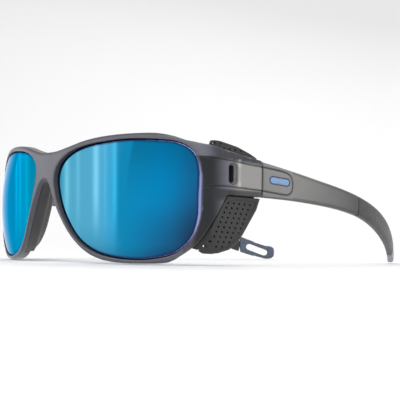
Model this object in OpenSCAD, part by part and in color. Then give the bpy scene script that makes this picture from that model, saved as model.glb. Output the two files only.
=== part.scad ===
// Wrap-around glacier glasses with removable side shields and folding temples.
// Front of the frame faces -Y, the wearer's left is +X, and the glasses stand on Z = 0.

/* [Frame front] */
// Radius of the frame front seen from above
wrap_r = 122; // [112:1:135]
// Radius of the frame front seen from the side
brow_r = 77; // [70:1:95]
// Height at which the front bulges most
bulge_z = 21.4; // [20:0.1:23]
// Thickness of the side walls that run back from the front
side_wall = 2.6; // [2.4:0.1:2.8]
// Depth of the front lip that the nose pads tuck behind
lip_depth = 1.6; // [1.2:0.1:1.8]

/* [Lenses] */
// Thickness of a lens
lens_t = 1.8; // [1.4:0.1:2]
// How far the lens edge sits inside its groove
lens_bevel = 0.6; // [0.4:0.1:0.7]
// Wall of the frame behind the lens groove
lens_back_wall = 0.9; // [0.7:0.1:1.1]
// Sideways shift of the lens curve, which sets the nasal edge deeper than the temporal one
lens_shift_x = 2; // [1.7:0.05:2.3]
// Depth of the lens curve behind the frame curve
lens_shift_y = 1.6; // [1.5:0.01:1.75]

/* [Nose] */
// Thickness of a nose pad where it lies on the rim
pad_t = 1; // [0.8:0.1:1.1]
// Sideways flare of a nose pad at its rear edge
pad_flare = 1.8; // [1:0.1:2.4]
// Depth of a nose pad at its middle
pad_depth = 9.2; // [8.4:0.1:11]

/* [Vents] */
// Width of a vent slot in an end piece
vent_w = 3.2; // [2.6:0.1:3.6]
// Length of a vent slot
vent_l = 6.8; // [5.5:0.1:7.5]

/* [Hinges] */
// Distance of a hinge axis from the middle plane
hinge_x = 63.1; // [62.9:0.1:63.3]
// Place of a hinge axis behind the bridge
hinge_y = 43; // [42.8:0.1:43.2]
// Height of the middle of a hinge
hinge_z = 27.5; // [27:0.1:28]
// Radius of the hinge knuckles
knuckle_r = 1.6; // [1.4:0.05:1.7]
// Radius of a hinge screw's shank
screw_r = 0.6; // [0.5:0.05:0.7]

/* [Temples] */
// Outer half width at the widest place of the temples
temple_x = 70.2; // [69:0.1:72]
// Place of the widest point behind the bridge
temple_y = 65; // [63:0.5:67]
// Thickness of a temple at the hinge
temple_t = 3.4; // [3:0.1:3.6]
// Where an ear sleeve begins
sleeve_start = 86; // [80:1:95]
// Where an ear sleeve ends
sleeve_end = 128; // [124:0.5:129]
// Thickness of an ear sleeve's wall
sleeve_wall = 0.8; // [0.6:0.1:1]
// Length of the cord slot in a temple tip
cord_slot_l = 9; // [7:0.1:9.4]
// Width of the cord slot
cord_slot_w = 2.6; // [2:0.1:2.8]

/* [Side shields] */
// Thickness of the inner skin of a shield
shield_skin = 1.5; // [1.2:0.1:1.8]
// Gap kept between a shield and the frame
shield_gap = 0.3; // [0.3:0.05:0.4]
// How far the lower panel lies inside the outer surface of the side
shield_step = 0.9; // [0.5:0.1:1.2]
// Radius of the two pegs that hold a shield
peg_r = 1.2; // [1:0.1:1.3]

/* [Hidden] */

depth = 140;                 // from the bridge to the ends of the temples
foremost = 0.14;             // where the frame front begins, beside the nose arch
end_y = 41;                  // where the frame's end pieces stop
seam = 0.5;                  // gap between an end piece and its temple
eps = 0.01;
fit = 0.05;                  // clearance of a running or push fit
tall = 60;                   // longer than any height in the model
frame_colour = [0.52, 0.50, 0.54, 0.85];
rubber_colour = [0.17, 0.17, 0.18];
metal_colour = [0.72, 0.72, 0.74];

// ---- Curves ---------------------------------------------------------------

// One point of a Catmull-Rom curve between b and c
function blend(a, b, c, d, t) =
    0.5 * (2 * b + (c - a) * t + (2 * a - 5 * b + 4 * c - d) * t * t
        + (3 * b - a - 3 * c + d) * t * t * t);

// Smooth open curve through the points p, with n steps between neighbours
function open_curve(p, n) = [
    for (i = [0 : len(p) - 2], k = [0 : n - 1])
        blend(p[max(i - 1, 0)], p[i], p[i + 1], p[min(i + 2, len(p) - 1)], k / n),
    p[len(p) - 1]
];

// Smooth closed curve through the points p
function closed_curve(p, n) = [
    for (i = [0 : len(p) - 1], k = [0 : n - 1])
        blend(p[(i + len(p) - 1) % len(p)], p[i], p[(i + 1) % len(p)], p[(i + 2) % len(p)], k / n)
];

// Unit normal at point i of the open curve c, to the left of its direction
function normal_at(c, i) =
    let (d = c[min(i + 1, len(c) - 1)] - c[max(i - 1, 0)])
    [-d.y, d.x] / norm(d);

// Open curve c moved sideways by d
function shifted(c, d) = [for (i = [0 : len(c) - 1]) c[i] + d * normal_at(c, i)];

// Closed anticlockwise curve c grown by d
function grown(c, d) = [
    for (i = [0 : len(c) - 1])
        let (v = c[(i + 1) % len(c)] - c[(i + len(c) - 1) % len(c)])
        c[i] + d * [v.y, -v.x] / norm(v)
];

function flipped(c) = [for (i = [len(c) - 1 : -1 : 0]) [-c[i].x, c[i].y]];

// ---- Outlines -------------------------------------------------------------

// Lens opening seen from the front, anticlockwise from the temple side
lens_points = [
    [64.2, 21.8], [63.9, 29.8], [61.5, 35.5], [56, 38.9], [48, 40.1], [38, 40.6], [28, 40.1],
    [20, 39.2], [13.2, 37.4], [8.6, 34.8], [6.4, 31.6], [6.1, 27.9], [7.2, 24.2], [9.2, 19.2],
    [12.2, 14.2], [16.1, 9.2], [20.6, 5.7], [27.2, 2.9], [36, 1.5], [46, 1.5], [55, 3.5],
    [61, 8.2], [63.7, 14.6]
];
lens_opening = closed_curve(lens_points, 3);
lens_edge = grown(lens_opening, lens_bevel);

// Upper edge of the frame from the middle of the bridge to above the end piece
brow_points = [
    [0, 37.7], [5, 37.9], [12, 39.2], [20, 40.9], [30, 42], [41, 42.3], [51, 41.6], [59, 40.1],
    [65, 38.4], [70, 36.5]
];
// Lower edge from the temple side to the bottom of the rim
rim_points = [
    [70, 18], [67.8, 14.5], [66, 10.6], [63.2, 6.6], [58.8, 3], [52, 0.7], [42, 0], [34, 0.2],
    [28, 1.1]
];
// Nose arch from the bottom of the rim to the middle of the bridge
arch_points = [
    [28, 1.1], [23.6, 2.5], [19.4, 4.9], [15.6, 8.2], [12.3, 12.1], [9.2, 16.6], [6.2, 21.3],
    [4.4, 24.6], [2.4, 27.3], [0, 28.3]
];
brow_edge = open_curve(brow_points, 2);
rim_edge = open_curve(rim_points, 2);
arch_edge = open_curve(arch_points, 3);
half_front = concat(brow_edge, rim_edge, [for (i = [1 : len(arch_edge) - 1]) arch_edge[i]]);
front_outline = concat(half_front, flipped([for (i = [1 : len(half_front) - 2]) half_front[i]]));

// Outer surface of the frame seen from above, from the front round to the end piece
side_points = [
    [50, 10.6], [56, 13.6], [60, 15.8], [63.2, 17.9], [65.6, 20.4], [66.8, 23.6], [67.2, 28],
    [67.6, 34], [68, end_y + 2]
];
side_curve = open_curve(side_points, 3);

// Frame seen from the side: front, end piece and the wing that runs down to the rim
frame_side = [
    [-2, -1], [16.8, -1], [17.4, 2.6], [19.7, 7], [21.2, 11], [23.6, 15.6], [25.6, 19], [27.5, 22],
    [29, 22.3], [end_y, 21.9], [end_y, 33.3], [33, 34.5], [24.7, 36.1], [20.5, 37.6],
    [17.6, 39], [14, 44], [-2, 44]
];

// Shield seen from the side: upper lobe, front strip and lower lobe round the hinge
shield_upper = [
    [12, 38.4], [20.5, 39.2], [26.6, 38.8], [33.3, 37.6], [38.6, 35.8], [41.2, 34.5],
    [41.2, 33.6], [38, 32.5], [32, 32.5], [30.4, 31], [30.4, 24], [31.6, 21.6], [40, 21.2],
    [39.2, 17.6], [34, 9.6], [31.8, 6.9], [28.6, 4.8], [24, 3.7], [18, 3.3], [12, 3.3]
];
// Lower panel, flush with the frame's side and just behind its wing
shield_lower = [
    [28.1, 21.6], [40.8, 21.1], [39.6, 17.8], [34.1, 9.7], [32.1, 7.2], [28.9, 5], [24.4, 3.8],
    [20.5, 3.4], [18, 3.3], [20.2, 7], [21.7, 11], [24.1, 15.6], [26, 18.9]
];
// Room behind the wing, where the lower panel may come forward beside the rim
wing_space = [
    [17.2, -2], [17.8, 2.6], [20.1, 7], [21.6, 11], [24, 15.6], [26, 19], [26, 22], [60, 22],
    [60, -2]
];
// Places of the two shield pegs, as distance behind the bridge and height
peg_places = [[24.8, 33.2], [24.8, 25.2]];

// ---- Temple shape ---------------------------------------------------------

// Stations along a temple: distance back, underside height and arm height
temple_points = [
    [end_y + seam, 21.8, 11.5], [53, 21.1, 9.7], [66, 19.9, 8.1], [78, 18.4, 7.3],
    [90, 16.2, 7], [102, 12.8, 7.4], [114, 8.6, 7.7], [124, 4.9, 7.3], [131, 2.1, 6.7],
    [137, 0.09, 6], [depth - 1, 0.25, 4.6], [depth, 1.2, 2.6]
];
front_bend = 0.004;          // how fast the temples widen from hinge to widest point
rear_bend = 0.0062;          // how fast they draw in towards the tips
tip_t = 2.6;                 // thickness of a temple at its tip
section_n = 14;              // points round a temple section
steps = 3;                   // sections between two stations

function bend(y) = y < temple_y ? front_bend : rear_bend;
function temple_out(y) = temple_x - bend(y) * pow(y - temple_y, 2);
function temple_slope(y) = -2 * bend(y) * (y - temple_y);
function temple_thick(y) = temple_t - (temple_t - tip_t) * (y - end_y) / (depth - end_y);
function out_dir(y) = [1, -temple_slope(y)] / norm([1, temple_slope(y)]);

// Rounded cross-section of a temple at station s, made smaller by the inset
function section(s, inset) =
    let (
        w = temple_thick(s.x) / 2 - inset,
        h = s.z / 2 - inset,
        mid = [temple_out(s.x), s.x] - out_dir(s.x) * temple_thick(s.x) / 2
    )
    [
        for (k = [0 : section_n - 1])
            let (
                a = 360 * (k + 0.5) / section_n,
                u = w * sign(cos(a)) * pow(abs(cos(a)), 0.6),
                v = h * sign(sin(a)) * pow(abs(sin(a)), 0.6),
                p = mid + out_dir(s.x) * u
            )
            [p.x, p.y, s.y + s.z / 2 + v]
    ];

// Station at distance y behind the bridge
function station(y) =
    let (
        i = max([for (k = [0 : len(temple_points) - 2]) temple_points[k].x <= y ? k : 0]),
        a = temple_points[max(i - 1, 0)],
        b = temple_points[i],
        c = temple_points[i + 1],
        d = temple_points[min(i + 2, len(temple_points) - 1)],
        t = (y - b.x) / (c.x - b.x),
        m = (c - a) * (c.x - b.x) / (c.x - a.x),
        n = (d - b) * (c.x - b.x) / (d.x - b.x),
        s = b * (1 + 2 * t) * pow(1 - t, 2) + m * t * pow(1 - t, 2)
            + c * t * t * (3 - 2 * t) - n * t * t * (1 - t)
    )
    [y, s.y, s.z];

// Distances of the sections between y0 and y1
function spaced(y0, y1, n) = [for (k = [0 : n]) y0 + (y1 - y0) * k / n];

// ---- Solids built from rings ----------------------------------------------

// Solid skinned over a list of rings with equal numbers of points
module skin(rings) {
    n = len(rings[0]);
    last = len(rings) - 1;
    polyhedron(
        points = [for (r = rings) for (p = r) p],
        faces = concat(
            [[for (k = [n - 1 : -1 : 0]) k]],
            [
                for (i = [0 : last - 1], k = [0 : n - 1])
                    each [
                        [i * n + k, (i + 1) * n + (k + 1) % n, (i + 1) * n + k],
                        [i * n + k, i * n + (k + 1) % n, (i + 1) * n + (k + 1) % n]
                    ]
            ],
            [[for (k = [0 : n - 1]) last * n + k]]
        ),
        convexity = 6
    );
}

// Ring-shaped solid between outer and inner rings
module sleeve_skin(outer, inner) {
    n = len(outer[0]);
    m = len(outer);
    skin_points = concat([for (r = outer) for (p = r) p], [for (r = inner) for (p = r) p]);
    inside = m * n;
    last = (m - 1) * n;
    polyhedron(
        points = skin_points,
        faces = concat(
            [
                for (i = [0 : m - 2], k = [0 : n - 1])
                    let (a = i * n + k, b = i * n + (k + 1) % n)
                    each [
                        [a, b + n, a + n],
                        [a, b, b + n],
                        [inside + a, inside + a + n, inside + b + n],
                        [inside + a, inside + b + n, inside + b]
                    ]
            ],
            [
                for (k = [0 : n - 1])
                    let (a = k, b = (k + 1) % n)
                    each [
                        [a, inside + b, b],
                        [a, inside + a, inside + b],
                        [last + b, inside + last + a, last + a],
                        [last + b, inside + last + b, inside + last + a]
                    ]
            ]
        ),
        convexity = 6
    );
}

// ---- Shared shapes --------------------------------------------------------

// Solid of everything behind a doubly curved front surface
module behind_curve(offset_in, shift = [0, 0]) {
    translate([shift.x, wrap_r + shift.y, 0])
        rotate_extrude($fn = 180)
            intersection() {
                translate([wrap_r - brow_r, bulge_z]) circle(r = brow_r - offset_in, $fn = 180);
                translate([60, -2]) square([wrap_r, 50]);
            }
}

// Lens curve at a given depth behind the lens front
module behind_lens(offset_in) {
    behind_curve(offset_in, [lens_shift_x, lens_shift_y]);
}

// Extrusion of a front view outline, running back from the front
module from_front(outline, y0 = -5, y1 = 60) {
    translate([0, y1, 0])
        rotate([90, 0, 0])
            linear_extrude(y1 - y0) polygon(outline);
}

// Extrusion of a side view outline across x0 to x1
module from_side(outline, x0, x1) {
    translate([x0, 0, 0])
        rotate([90, 0, 90])
            linear_extrude(x1 - x0) polygon(outline);
}

// Everything inside the frame's side surface moved in by d
module inside_sides(d) {
    c = shifted(side_curve, d);
    plan = concat([[c[0].x, -8]], c, [[c[len(c) - 1].x, 62]]);
    translate([0, 0, -2])
        linear_extrude(tall)
            polygon(concat(plan, flipped(plan)));
}

// Wall that follows the side surface between two depths, on the left
module side_band(d0, d1) {
    outer = shifted(side_curve, d0);
    inner = shifted(side_curve, d1);
    translate([0, 0, -2])
        linear_extrude(tall)
            polygon(concat(outer, [for (i = [len(inner) - 1 : -1 : 0]) inner[i]]));
}

// Slot with round ends, centred, cut through along X
module slot_x(length, width, through) {
    rotate([0, 90, 0])
        linear_extrude(through, center = true) {
            square([length - width, width], center = true);
            for (s = [-1, 1])
                translate([s * (length - width) / 2, 0]) circle(d = width, $fn = 32);
        }
}

// Copies the left child to the right as well
module both() {
    children();
    mirror([1, 0, 0]) children();
}

module placed() {
    translate([0, -(foremost + depth) / 2, 0]) children();
}

// Left part as it is, or mirrored for the right side
module side(name) {
    if (name == "left") placed() children();
    else placed() mirror([1, 0, 0]) children();
}

// ---- Frame front ----------------------------------------------------------

// Space inside the frame, behind the lens walls and between the side walls
module head_space() {
    intersection() {
        behind_lens(lens_t + lens_back_wall);
        inside_sides(side_wall);
        translate([-0.2, -5, -3]) cube([80, 80, tall]);
    }
}

// Seat that a nose pad fills, behind the lip
pad_first = 4;               // first arch point that a pad covers
pad_last = 24;               // last arch point that a pad covers
pad_grow = 14;               // arch point above which a pad thickens
pad_taper = 6;               // number of arch points over which it does
pad_thin = 0.35;             // thickness of a pad beside the thin rim

// Thickness of a pad at arch point i
function pad_thick(i) = pad_thin + (pad_t - pad_thin) * min(1, max(0, (i - pad_grow) / pad_taper));

module pad_seat() {
    lower = [for (i = [pad_first : pad_last]) arch_edge[i] + 3 * normal_at(arch_edge, i)];
    upper = [
        for (i = [pad_last : -1 : pad_first])
            arch_edge[i] - (pad_thick(i) + fit) * normal_at(arch_edge, i)
    ];
    intersection() {
        from_front(concat(lower, upper), 0.5, 30);
        behind_curve(lip_depth);
    }
}

module lens_groove() {
    difference() {
        intersection() {
            from_front(grown(lens_opening, lens_bevel + fit));
            behind_lens(-fit);
        }
        behind_lens(lens_t + fit);
    }
}

vent_at = [29.4, 28.9];      // middle of a vent slot, as distance back and height
boss_x = 64.3;               // inner face of the boss that carries a hinge leaf
boss_y = 33.4;               // where the boss begins
hinge_h = 8.4;               // height of the whole hinge
middle_h = 4;                // height of the temple's own knuckle
leaf_t = 1.2;                // thickness of a hinge leaf

module hinge_boss() {
    translate([boss_x, boss_y, hinge_z - hinge_h / 2 - 0.8])
        cube([2, end_y - boss_y, hinge_h + 1.6]);
}

module half_cuts() {
    from_front(lens_opening);
    lens_groove();
    pad_seat();
    translate([67, vent_at.x, vent_at.y]) slot_x(vent_l, vent_w, 12);
    for (p = peg_places)
        translate([0, p.x, p.y]) rotate([0, 90, 0]) cylinder(r = peg_r + fit, h = 66.1, $fn = 32);
    leaf_screw_places() cylinder(r = leaf_screw_r, h = 4.4, $fn = 24);
}

module front_frame() {
    color(frame_colour)
        placed()
            difference() {
                union() {
                    difference() {
                        intersection() {
                            behind_curve(0);
                            inside_sides(0);
                            from_front(front_outline);
                            from_side(frame_side, -80, 80);
                        }
                        both() head_space();
                    }
                    both() hinge_boss();
                }
                both() half_cuts();
            }
}

module lens(name) {
    color([0.05, 0.45, 0.85])
        side(name)
            difference() {
                intersection() {
                    from_front(lens_edge);
                    behind_lens(0);
                }
                behind_lens(lens_t);
            }
}

// ---- Nose pads ------------------------------------------------------------

function front_y(p) =
    let (r = wrap_r - brow_r + sqrt(pow(brow_r, 2) - pow(p.y - bulge_z, 2)))
    wrap_r - sqrt(r * r - p.x * p.x);

pad_clear = 5.5;             // depth at which a pad is past the back of the rim
pad_short = 6.2;             // depth of a pad at its two ends

// Plan section of a pad of thickness t: distance into the rim, and depth behind the frame surface
function pad_section(t, back) = [
    [0, lip_depth + fit], [0.1, pad_clear], [pad_flare * 0.6, back - 0.6], [pad_flare * 0.6 + 0.6, back],
    [pad_flare + 1.2, back], [pad_flare + 1.6, back - 0.8], [t, pad_clear], [t, lip_depth + fit]
];

module nose_pad(name) {
    count = pad_last - pad_first;
    rings = [
        for (i = [pad_first : pad_last])
            let (
                t = (i - pad_first) / count,
                c = arch_edge[i],
                n = -normal_at(arch_edge, i),
                back = pad_short + (pad_depth - pad_short) * pow(sin(180 * t), 0.7)
            )
            [
                for (q = pad_section(pad_thick(i), back))
                    let (p = c + n * q.x)
                    [p.x, front_y(p) + q.y, p.y]
            ]
    ];
    color(rubber_colour)
        side(name)
            skin(rings);
}

// ---- Hinges ---------------------------------------------------------------

leaf_l = 8;                  // length of a leaf in front of or behind the axis
leaf_screw_r = 0.5;          // radius of the screws that hold a leaf
leaf_head_r = 0.9;           // radius of their heads
leaf_head_t = 0.4;           // thickness of their heads

// Two screw places on the frame's leaf, pointing outwards
module leaf_screw_places() {
    for (s = [-1, 1])
        translate([boss_x - leaf_t - leaf_head_t, hinge_y - leaf_l + 1.2 + (s + 1) * 1.3, hinge_z + s * 2.4])
            rotate([0, 90, 0]) children();
}

// Knuckle band from z0 to z1, measured from the middle of the hinge
module knuckle(z0, z1, r) {
    translate([hinge_x, hinge_y, hinge_z + z0]) cylinder(r = r, h = z1 - z0, $fn = 48);
}

module frame_hinge(name) {
    gap_h = middle_h / 2 + 0.1;
    color(metal_colour)
        side(name)
            difference() {
                union() {
                    translate([boss_x - leaf_t, hinge_y - leaf_l - 1.2, hinge_z - hinge_h / 2])
                        cube([leaf_t, leaf_l + 1.2, hinge_h]);
                    knuckle(-hinge_h / 2, -gap_h, knuckle_r);
                    knuckle(gap_h, hinge_h / 2, knuckle_r);
                }
                knuckle(-gap_h, gap_h, knuckle_r + 0.4);
                knuckle(-tall / 4, tall / 4, screw_r);
                leaf_screw_places() cylinder(r = leaf_screw_r, h = 4, $fn = 24);
            }
}

module screw(length, r, head_r, head_t) {
    difference() {
        union() {
            cylinder(r = head_r, h = head_t, $fn = 32);
            cylinder(r = r, h = length + head_t, $fn = 24);
        }
        translate([-head_r, -0.12, -eps]) cube([2 * head_r, 0.24, head_t / 2]);
    }
}

module frame_hinge_screws(name) {
    color(metal_colour)
        side(name)
            leaf_screw_places() screw(3.9, leaf_screw_r, leaf_head_r, leaf_head_t);
}

module hinge_pin(name) {
    head_t = 0.5;
    color(metal_colour)
        side(name)
            translate([hinge_x, hinge_y, hinge_z + hinge_h / 2 + head_t])
                mirror([0, 0, 1]) screw(hinge_h + 0.2, screw_r, 1.1, head_t);
}

// Turns a child into the direction of the temple at its hinge
module along_temple() {
    translate([hinge_x, hinge_y, hinge_z]) rotate([0, 0, -9.4]) children();
}

leaf_in = 0.5;               // inner face of the temple's leaf beside the axis
leaf_out = 2.2;              // outer face of the same leaf

module temple_leaf_shape(extra) {
    translate([leaf_in, 2.1 - extra, -2.9 - extra])
        cube([leaf_out - leaf_in + extra, leaf_l + 2 * extra, 5.8 + 2 * extra]);
}

module temple_screw_places() {
    for (s = [-1, 1])
        translate([leaf_in - leaf_head_t, 6 + s * 2.6, s * 1.4])
            rotate([0, 90, 0]) children();
}

module temple_hinge(name) {
    color(metal_colour)
        side(name)
            difference() {
                union() {
                    knuckle(-middle_h / 2, middle_h / 2, knuckle_r);
                    along_temple() {
                        translate([leaf_in, 0, -middle_h / 2]) cube([knuckle_r - leaf_in, 3, middle_h]);
                        temple_leaf_shape(0);
                    }
                }
                knuckle(-tall / 4, tall / 4, screw_r + fit);
                along_temple() temple_screw_places() cylinder(r = leaf_screw_r, h = 4, $fn = 24);
            }
}

module temple_hinge_screws(name) {
    color(metal_colour)
        side(name)
            along_temple() temple_screw_places() screw(3, leaf_screw_r, leaf_head_r, leaf_head_t);
}

// ---- Temples --------------------------------------------------------------

badge_l = 8.2;               // length of a badge
badge_h = 2.8;               // height of a badge
badge_y = 47.6;              // middle of a badge
badge_z = 27.2;              // height of a badge's middle
badge_t = 0.8;               // thickness of a badge

module at_badge() {
    translate([temple_out(badge_y), badge_y, badge_z]) rotate([-6, 0, -8]) children();
}

module badge_shape(extra, x0, x1) {
    translate([(x0 + x1) / 2, 0, 0])
        rotate([90, 0, 0]) slot_x(badge_l + 2 * extra, badge_h + 2 * extra, x1 - x0);
}

cord_slot_y = 134;           // middle of the cord slot
module cord_slot() {
    translate([temple_out(cord_slot_y), cord_slot_y, station(cord_slot_y).y + station(cord_slot_y).z / 2])
        rotate([0, 0, atan(-temple_slope(cord_slot_y)) ])
            rotate([-22, 0, 0])
                rotate([90, 0, 0]) slot_x(cord_slot_l, cord_slot_w, 12);
}

module temple(name) {
    full = temple_points[len(temple_points) - 1].x;
    front = [for (y = spaced(end_y + seam, sleeve_start, 12)) section(station(y), 0)];
    core = [for (y = spaced(sleeve_start, sleeve_end, 12)) section(station(y), sleeve_wall)];
    tip = [for (y = concat(spaced(sleeve_end, 137, 5), [138, 139, 139.6, full])) section(station(y), 0)];
    color(frame_colour)
        side(name)
            difference() {
                skin(concat(front, core, tip));
                cord_slot();
                knuckle(-tall / 4, tall / 4, knuckle_r + 0.35);
                along_temple() {
                    temple_leaf_shape(fit);
                    temple_screw_places() cylinder(r = leaf_screw_r, h = 3.6, $fn = 24);
                }
                at_badge() badge_shape(fit, -badge_t, 3);
            }
}

module ear_sleeve(name) {
    ys = spaced(sleeve_start + fit, sleeve_end - fit, 12);
    color(rubber_colour)
        side(name)
            sleeve_skin([for (y = ys) section(station(y), 0)], [for (y = ys) section(station(y), sleeve_wall - fit)]);
}

module badge(name) {
    color([0.1, 0.35, 0.75])
        side(name)
            at_badge() badge_shape(0, -badge_t, 0.05);
}

// ---- Side shields ---------------------------------------------------------

module shield_body() {
    skin_out = side_wall + shield_gap;
    intersection() {
        union() {
            intersection() {
                side_band(skin_out, skin_out + shield_skin);
                from_side(shield_upper, 50, 80);
            }
            intersection() {
                side_band(shield_step, skin_out + 0.2);
                from_side(shield_lower, 50, 80);
            }
        }
        union() {
            behind_lens(lens_t + lens_back_wall + shield_gap);
            intersection() {
                behind_lens(lens_t + shield_gap);
                from_side(wing_space, 56, 80);
            }
        }
        translate([56.5, 0, 0]) cube([20, 60, tall]);
    }
}

module side_shield(name) {
    color(rubber_colour)
        side(name)
            difference() {
                shield_body();
                for (p = peg_places)
                    translate([50, p.x, p.y]) rotate([0, 90, 0]) cylinder(r = peg_r, h = 20, $fn = 32);
            }
}

clip_x = 61;               // inner face of a shield's clip
clip_t = 1;                  // thickness of the clip's plate

module shield_clip(name) {
    color([0.25, 0.25, 0.27])
        side(name) {
            difference() {
                translate([clip_x, 23.4, 23.4]) cube([clip_t, 2.9, 11.6]);
                translate([clip_x - eps, 24.1, 27.2]) cube([clip_t + 2 * eps, 1.5, 4]);
            }
            for (p = peg_places)
                translate([clip_x, p.x, p.y]) rotate([0, 90, 0]) cylinder(r = peg_r, h = 65.9 - clip_x, $fn = 32);
        }
}

// ---- Assembly -------------------------------------------------------------

front_frame();
lens("left");  // lens_left
lens("right");  // lens_right
nose_pad("left");  // nose_pad_left
nose_pad("right");  // nose_pad_right
frame_hinge("left");  // frame_hinge_left
frame_hinge("right");  // frame_hinge_right
frame_hinge_screws("left");  // frame_hinge_screws_left
frame_hinge_screws("right");  // frame_hinge_screws_right
hinge_pin("left");  // hinge_pin_left
hinge_pin("right");  // hinge_pin_right
side_shield("left");  // side_shield_left
side_shield("right");  // side_shield_right
shield_clip("left");  // shield_clip_left
shield_clip("right");  // shield_clip_right
temple_hinge("left");  // temple_hinge_left
temple_hinge("right");  // temple_hinge_right
temple_hinge_screws("left");  // temple_hinge_screws_left
temple_hinge_screws("right");  // temple_hinge_screws_right
temple("left");  // temple_left
temple("right");  // temple_right
ear_sleeve("left");  // ear_sleeve_left
ear_sleeve("right");  // ear_sleeve_right
badge("left");  // badge_left
badge("right");  // badge_right
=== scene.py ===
import math

import bmesh
import bpy
import numpy as np
from mathutils import Matrix, Vector


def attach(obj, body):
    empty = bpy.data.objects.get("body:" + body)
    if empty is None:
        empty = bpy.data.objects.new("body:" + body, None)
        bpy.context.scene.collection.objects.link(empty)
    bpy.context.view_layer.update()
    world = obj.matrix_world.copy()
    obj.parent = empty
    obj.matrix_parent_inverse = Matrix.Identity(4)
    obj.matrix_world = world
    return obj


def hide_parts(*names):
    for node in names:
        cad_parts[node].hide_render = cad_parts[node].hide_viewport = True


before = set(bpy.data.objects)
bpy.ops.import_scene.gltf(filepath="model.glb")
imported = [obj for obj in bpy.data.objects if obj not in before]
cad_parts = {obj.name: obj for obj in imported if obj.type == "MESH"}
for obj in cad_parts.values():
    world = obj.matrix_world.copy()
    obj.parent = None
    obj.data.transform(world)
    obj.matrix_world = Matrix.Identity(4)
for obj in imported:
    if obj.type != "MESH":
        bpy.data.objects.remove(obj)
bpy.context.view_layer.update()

# Everything below is worked out in millimetres, with Y measured back from the bridge.
# X is the wearer's left. place() turns it into the row frame's metres.
Y_SHIFT = -70.07             # from the bridge to the row frame's origin
MM = 0.001
SKY = 1.2                    # brightness of the surroundings at the horizon
SIDES = (("left", 1.0), ("right", -1.0))

# ---- Shared sizes ----
# The brow's and the end piece's outer corners and the shields' outlines are drawn
# up to 2 mm fuller than in the CAD source; the rest is the same.
WRAP_R = 122.0               # radius of the front's wrap round the head, at the bulge
BROW_R = 77.0                # radius of its curve from top to bottom
BULGE_Z = 21.4               # height where it is foremost
LENS_SHIFT = (2.0, 1.6)      # how far the lens surface is shifted sideways and back
LENS_T = 1.8                 # lens thickness
BACK_WALL = 0.9              # rim behind the lens
SIDE_WALL = 2.6              # side wall of the frame
END_Y = 41.0                 # end of the frame, at the joint
SEAM = 0.5                   # gap to the temple
HINGE = (63.1, 43.0, 27.5)    # hinge pin
TEMPLE_X = 70.2              # a temple's outermost point
TEMPLE_Y = 65.0              # its distance behind the bridge
TEMPLE_LONG = 140.0          # end of the temple's tip

LENS_POINTS = [
    (64.2, 21.8), (63.9, 29.8), (61.5, 35.5), (56, 38.9), (48, 40.1), (38, 40.6), (28, 40.1),
    (20, 39.2), (13.2, 37.4), (8.6, 34.8), (6.4, 31.6), (6.1, 27.9), (7.2, 24.2), (9.2, 19.2),
    (12.2, 14.2), (16.1, 9.2), (20.6, 5.7), (27.2, 2.9), (36, 1.5), (46, 1.5), (55, 3.5),
    (61, 8.2), (63.7, 14.6),
]
BROW_POINTS = [
    (0, 37.7), (5, 37.9), (12, 39.2), (20, 40.9), (30, 42), (41, 42.3), (51, 41.8), (59, 40.8),
    (65, 39.6), (70, 38.2),
]
RIM_POINTS = [
    (70, 18), (67.8, 14.5), (66, 10.6), (63.2, 6.6), (58.8, 3), (52, 0.7), (42, 0), (34, 0.2),
    (28, 1.1),
]
ARCH_POINTS = [
    (28, 1.1), (23.6, 2.5), (19.4, 4.9), (15.6, 8.2), (12.3, 12.1), (9.2, 16.6), (6.2, 21.3),
    (4.4, 24.6), (2.4, 27.3), (0, 28.3),
]
SIDE_POINTS = [
    (50, 10.6), (56, 13.6), (60, 15.8), (63.2, 17.9), (65.6, 20.4), (66.8, 23.6), (67.2, 28),
    (67.6, 34), (68, 43),
]
FRAME_SIDE = [
    (-2, -1), (16.8, -1), (17.4, 2.6), (19.7, 7), (21.2, 11), (23.6, 15.6), (25.6, 19), (27.5, 22),
    (29, 22.3), (41, 21.9), (41, 33.5), (33, 34.9), (24.7, 36.7), (20.5, 38.1), (17.6, 39.5),
    (14, 44), (-2, 44),
]
SHIELD_UPPER = [
    (12, 39.4), (17.6, 39.6), (20.5, 39.6), (26.6, 39.3), (33.3, 37.8), (38.6, 35.8), (41.2, 34.5),
    (41.2, 33.6), (38, 32.5), (32.6, 32.5), (31.5, 31.4), (31.5, 24), (32.2, 22.2), (40.4, 22.0),
    (39.2, 17.6), (34, 9.6), (31.8, 6.9), (28.6, 4.8), (24, 3.7), (18, 3.3), (12, 3.3),
]
SHIELD_LOWER = [
    (28.1, 21.85), (41.0, 21.45), (39.6, 17.8), (34.1, 9.7), (32.1, 7.2), (28.9, 5), (24.4, 3.8),
    (20.5, 3.4), (18, 3.3), (20.2, 7), (21.7, 11), (24.1, 15.6), (26, 18.9),
]
VENT = (29.4, 28.9, 3.2, 6.8)    # vent slot: distance back, height, width, length
VENT_DISH = 1.05             # depth of the dished recess round the slot
VENT_LIP = 0.68              # how much narrower the slot is than its recess
SIDE_X = 60.0                # the side features lie outside this
SHIELD_GRIP = (2.95, 4.38)   # depths of the skin behind the end piece, outer and inner face
PANEL = (0.93, 3.05)         # depths of the lower panel below the side's surface
PANEL_STEP = 0.42            # how deep the panel's middle lies below its border
SLEEVE = (86.0, 128.0)       # a sleeve's ends, as distance behind the bridge
SLEEVE_T = 0.85              # depth of its waist in the arm
CORD_SLOT = (134.0, 9.0, 2.6, 22.0)    # tip slot: distance back, length, width, tilt in degrees
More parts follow.
